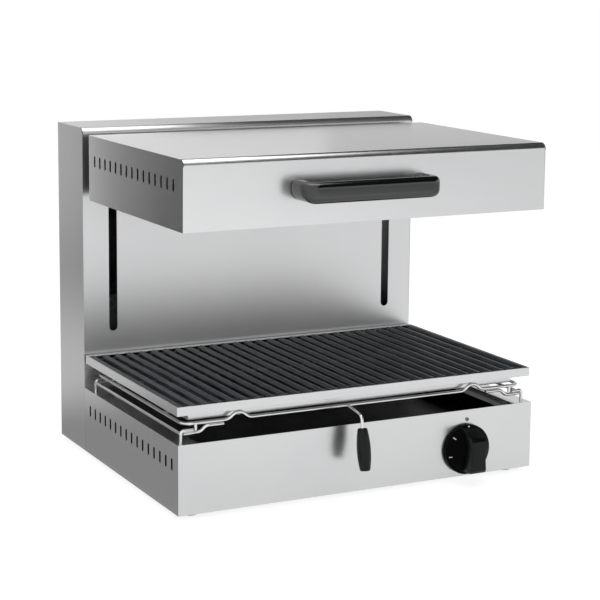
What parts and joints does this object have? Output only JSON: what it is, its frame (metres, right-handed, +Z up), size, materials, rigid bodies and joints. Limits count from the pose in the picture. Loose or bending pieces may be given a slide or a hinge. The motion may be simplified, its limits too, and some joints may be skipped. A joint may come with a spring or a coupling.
{
  "type": "electric salamander grill",
  "caption": "Benchtop electric salamander grill: a base with drip tray and pull-out grate, a rear column, and a heated hood that travels down on counterweighted slides.",
  "frame": {"origin": "on the surface that the feet stand on, under the middle of the whole outline (bounding box bottom centre)", "axes": "+X to the user's right along the front, +Y from the front to the back, +Z up"},
  "size_m": [0.6, 0.579, 0.529],
  "materials": {
    "steel_sheet": "satin, brushed along the panel",
    "zinc_plate": "zinc plated",
    "zinc_hardware": "zinc plated",
    "bright_rod": "ground and polished",
    "wire_rope": "galvanised strand",
    "chromed_wire": "polished",
    "dark_enamel": "gloss enamel",
    "dark_panel": "matt heat-resistant paint",
    "bright_panel": "bright annealed",
    "heater_tube": "oxidised dull",
    "ceramic": "unglazed ceramic look",
    "insulation": "mineral fibre blanket",
    "wire_sleeve": "glass-braid sleeve look",
    "dark_plastic": "moulded",
    "black_plastic": "glossy moulded",
    "knob_plastic": "fine satin moulded",
    "grey_plastic": "moulded",
    "lamp_lens": "tinted lens, unlit",
    "cast_alloy": "machined",
    "bronze": "plain bearing",
    "cast_weight": "as cast",
    "grate_steel": "satin",
    "grate_bars": "matt black enamel"
  },
  "bodies": {
    "body": {"base_shell": "steel_sheet", "bottom_plate": "zinc_plate", "tray_rail_left": "zinc_plate", "tray_rail_right": "zinc_plate", "drip_tray": "dark_enamel", "column_wrap": "steel_sheet", "column_side_left": "steel_sheet", "column_side_right": "steel_sheet", "rear_cover": "steel_sheet", "cover_screws": "zinc_hardware", "feet": "grey_plastic", "foot_screws": "zinc_hardware", "guide_rod_left": "bright_rod", "guide_rod_right": "bright_rod", "rod_collars": "zinc_hardware", "lower_bracket": "zinc_plate", "top_crossbeam": "zinc_plate", "pulley_brackets": "zinc_plate", "front_cables": "wire_rope", "pulley_cables": "wire_rope", "rear_cables": "wire_rope", "weight_guides": "zinc_plate", "rack_support_left": "chromed_wire", "rack_support_right": "chromed_wire", "control_switch": "dark_plastic", "pilot_lamp": "lamp_lens", "terminal_block": "ceramic", "cable_gland": "dark_plastic", "base_wiring": "wire_sleeve", "flex_lead": "wire_sleeve"},
    "hood": {"hood_shell": "steel_sheet", "hood_side_left": "steel_sheet", "hood_side_right": "steel_sheet", "hood_back_panel": "dark_panel", "reflector": "bright_panel", "insulation_pad": "insulation", "heating_element_1": "heater_tube", "heating_element_2": "heater_tube", "heating_element_3": "heater_tube", "element_hangers": "bright_panel", "element_terminals": "ceramic", "lift_arm_left": "zinc_plate", "lift_arm_right": "zinc_plate", "carriage_left": "cast_alloy", "carriage_right": "cast_alloy", "guide_bushes": "bronze", "arm_bolts": "zinc_hardware", "bow_handle": "black_plastic", "handle_screws": "zinc_hardware"},
    "counterweight": {"counterweight": "cast_weight"},
    "pulley_left": {"pulley_left": "dark_plastic"},
    "pulley_right": {"pulley_right": "dark_plastic"},
    "knob": {"knob": "knob_plastic", "switch_shaft": "zinc_hardware"},
    "carrier": {"carrier_frame": "chromed_wire", "carrier_handle": "chromed_wire", "carrier_grip": "black_plastic"},
    "grate": {"grate_frame": "grate_steel", "grate_ribs": "grate_bars", "grate_tie_rods": "grate_steel"}
  },
  "joints": [
    {"name": "hood_lift", "type": "slide", "parent": "body", "child": "hood", "axis": [0, 0, -1], "range_m": [0, 0.235], "deforming": ["front_cables", "flex_lead"]},
    {"name": "counterweight_slide", "type": "slide", "parent": "body", "child": "counterweight", "axis": [0, 0, 1], "range_m": [0, 0.235], "deforming": ["rear_cables"]},
    {"name": "pulley_left_spin", "type": "hinge", "parent": "body", "child": "pulley_left", "pos_m": [-0.25, 0.2355, 0.5055], "axis": [1, 0, 0], "range_deg": [-5, 1230]},
    {"name": "pulley_right_spin", "type": "hinge", "parent": "body", "child": "pulley_right", "pos_m": [0.25, 0.2355, 0.5055], "axis": [1, 0, 0], "range_deg": [-5, 1230]},
    {"name": "knob_turn", "type": "hinge", "parent": "body", "child": "knob", "pos_m": [0.18, -0.2235, 0.051], "axis": [0, 1, 0], "range_deg": [0, 308.57]},
    {"name": "carrier_slide", "type": "slide", "parent": "body", "child": "carrier", "axis": [0, -1, 0], "range_m": [0, 0.15]},
    {"name": "grate_lift", "type": "slide", "parent": "carrier", "child": "grate", "axis": [0, 0, 1], "range_m": [0, 0.012]}
  ],
  "couplings": [
    {"joint": "counterweight_slide", "follows": "hood_lift", "ratio": 1},
    {"joint": "pulley_left_spin", "follows": "hood_lift", "rad_per_m": 90.909},
    {"joint": "pulley_right_spin", "follows": "hood_lift", "rad_per_m": 90.909}
  ]
}
